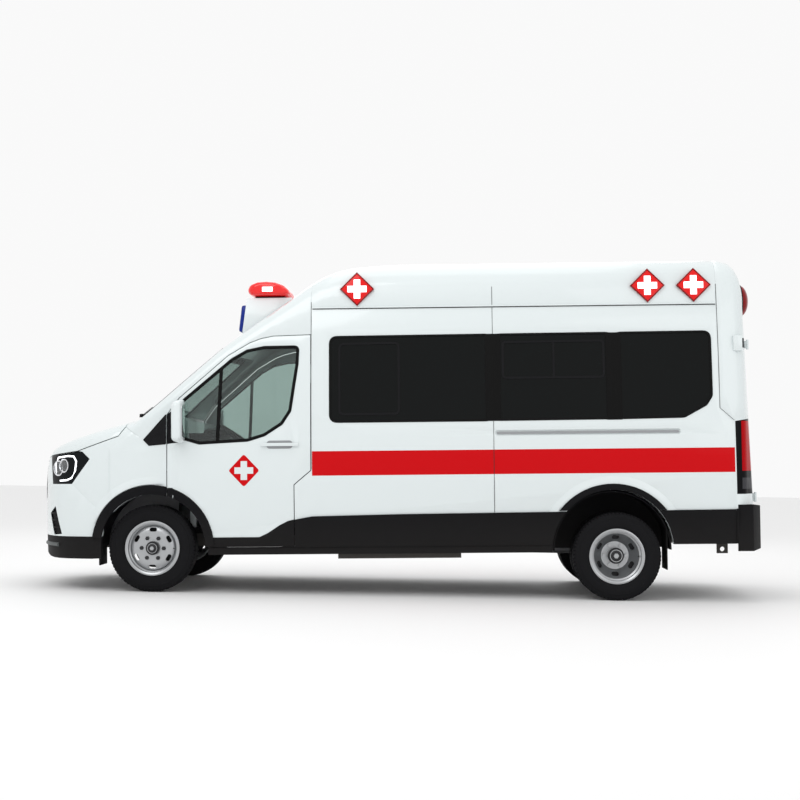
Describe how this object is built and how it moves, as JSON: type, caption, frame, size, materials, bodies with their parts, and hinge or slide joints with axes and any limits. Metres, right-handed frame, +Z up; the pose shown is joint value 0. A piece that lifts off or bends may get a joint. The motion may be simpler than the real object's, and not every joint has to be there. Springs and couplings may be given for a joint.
{
  "type": "ambulance van",
  "caption": "High-roof ambulance van with hinged cab doors, rear doors and bonnet, steered front wheels, twin rear wheels, red light bar and diamond cross lamps.",
  "frame": {"origin": "on the ground below the middle of the box around the vehicle", "axes": "+X to the rear, +Y to the right-hand side of the vehicle, +Z up; the nose points along -X"},
  "size_m": [5.984, 2.463, 2.8041],
  "materials": {
    "body_paint": "gloss white paint",
    "glass": "tinted safety glass",
    "tyre": "matt black rubber",
    "wheel_steel": "silver painted steel",
    "black_plastic": "grained black plastic",
    "lamp_clear": "clear lamp lens",
    "lamp_red": "red lamp lens",
    "seat_fabric": "dark woven fabric",
    "chassis_steel": "satin black paint"
  },
  "bodies": {
    "body": {"floor_pan": "body_paint", "cab_shell": "body_paint", "side_left": "body_paint", "side_right": "body_paint", "sliding_door": "body_paint", "roof": "body_paint", "rear_frame": "body_paint", "wings": "body_paint", "front_bumper": "body_paint", "grille": "black_plastic", "headlamps": "lamp_clear", "tail_lamps": "lamp_red", "rear_bumper": "black_plastic", "cladding": "black_plastic", "vents": "black_plastic", "lower_bumper": "black_plastic", "windscreen": "glass", "side_windows": "glass", "light_pod": "body_paint", "light_bar": "lamp_red", "cross_lamps": "lamp_red", "partition": "body_paint", "dashboard": "black_plastic", "seats": "seat_fabric", "chassis": "chassis_steel", "front_axle": "chassis_steel", "rear_axle": "chassis_steel", "driveline": "chassis_steel", "fuel_tank": "black_plastic", "engine": "chassis_steel", "wheel_liners": "black_plastic"},
    "hood": {"hood": "body_paint"},
    "door_left": {"door_left": "body_paint", "door_glass_left": "glass", "mirror_left": "body_paint"},
    "door_right": {"door_right": "body_paint", "door_glass_right": "glass", "mirror_right": "body_paint"},
    "rear_door_left": {"rear_door_left": "body_paint", "rear_glass_left": "glass"},
    "rear_door_right": {"rear_door_right": "body_paint", "rear_glass_right": "glass"},
    "knuckle_left": {"knuckle_left": "chassis_steel"},
    "knuckle_right": {"knuckle_right": "chassis_steel"},
    "front_wheel_left": {"rim_front_left": "wheel_steel", "tyre_front_left": "tyre"},
    "front_wheel_right": {"rim_front_right": "wheel_steel", "tyre_front_right": "tyre"},
    "rear_wheel_left": {"rim_rear_left": "wheel_steel", "tyre_rear_left": "tyre"},
    "rear_wheel_right": {"rim_rear_right": "wheel_steel", "tyre_rear_right": "tyre"},
    "steering_wheel": {"steering_wheel": "black_plastic"}
  },
  "joints": [
    {"name": "steer_left", "type": "hinge", "parent": "body", "child": "knuckle_left", "pos_m": [-1.967, -0.8, 0.352], "axis": [0, 0, 1], "range_deg": [-33, 33]},
    {"name": "steer_right", "type": "hinge", "parent": "body", "child": "knuckle_right", "pos_m": [-1.967, 0.8, 0.352], "axis": [0, 0, 1], "range_deg": [-33, 33]},
    {"name": "steering_turn", "type": "hinge", "parent": "body", "child": "steering_wheel", "pos_m": [-1.3459, -0.43, 1.25734], "axis": [0.5534, 0, 0.8329], "range_deg": [-462, 462]},
    {"name": "front_wheel_left", "type": "hinge", "parent": "knuckle_left", "child": "front_wheel_left", "pos_m": [-1.967, -0.865, 0.352], "axis": [0, 1, 0], "continuous": true},
    {"name": "rear_wheel_left", "type": "hinge", "parent": "body", "child": "rear_wheel_left", "pos_m": [1.783, -0.905, 0.352], "axis": [0, 1, 0], "continuous": true},
    {"name": "door_left", "type": "hinge", "parent": "body", "child": "door_left", "pos_m": [-1.80424, -1.009, 0.85603], "axis": [0.0244, -0.0113, -0.9996], "range_deg": [0, 70]},
    {"name": "rear_door_left", "type": "hinge", "parent": "body", "child": "rear_door_left", "pos_m": [2.87814, -0.797, 1.47061], "axis": [0.0582, 0, -0.9983], "range_deg": [0, 180]},
    {"name": "front_wheel_right", "type": "hinge", "parent": "knuckle_right", "child": "front_wheel_right", "pos_m": [-1.967, 0.865, 0.352], "axis": [0, 1, 0], "continuous": true},
    {"name": "rear_wheel_right", "type": "hinge", "parent": "body", "child": "rear_wheel_right", "pos_m": [1.783, 0.905, 0.352], "axis": [0, 1, 0], "continuous": true},
    {"name": "door_right", "type": "hinge", "parent": "body", "child": "door_right", "pos_m": [-1.80424, 1.009, 0.85603], "axis": [-0.0244, -0.0113, 0.9996], "range_deg": [0, 70]},
    {"name": "rear_door_right", "type": "hinge", "parent": "body", "child": "rear_door_right", "pos_m": [2.87814, 0.797, 1.47061], "axis": [-0.0582, 0, 0.9983], "range_deg": [0, 180]},
    {"name": "hood", "type": "hinge", "parent": "body", "child": "hood", "pos_m": [-2.2021, 0, 1.41847], "axis": [0, 1, 0], "range_deg": [0, 50]}
  ],
  "couplings": [
    {"joint": "steer_right", "follows": "steer_left", "ratio": 1},
    {"joint": "steering_turn", "follows": "steer_left", "ratio": 14}
  ]
}
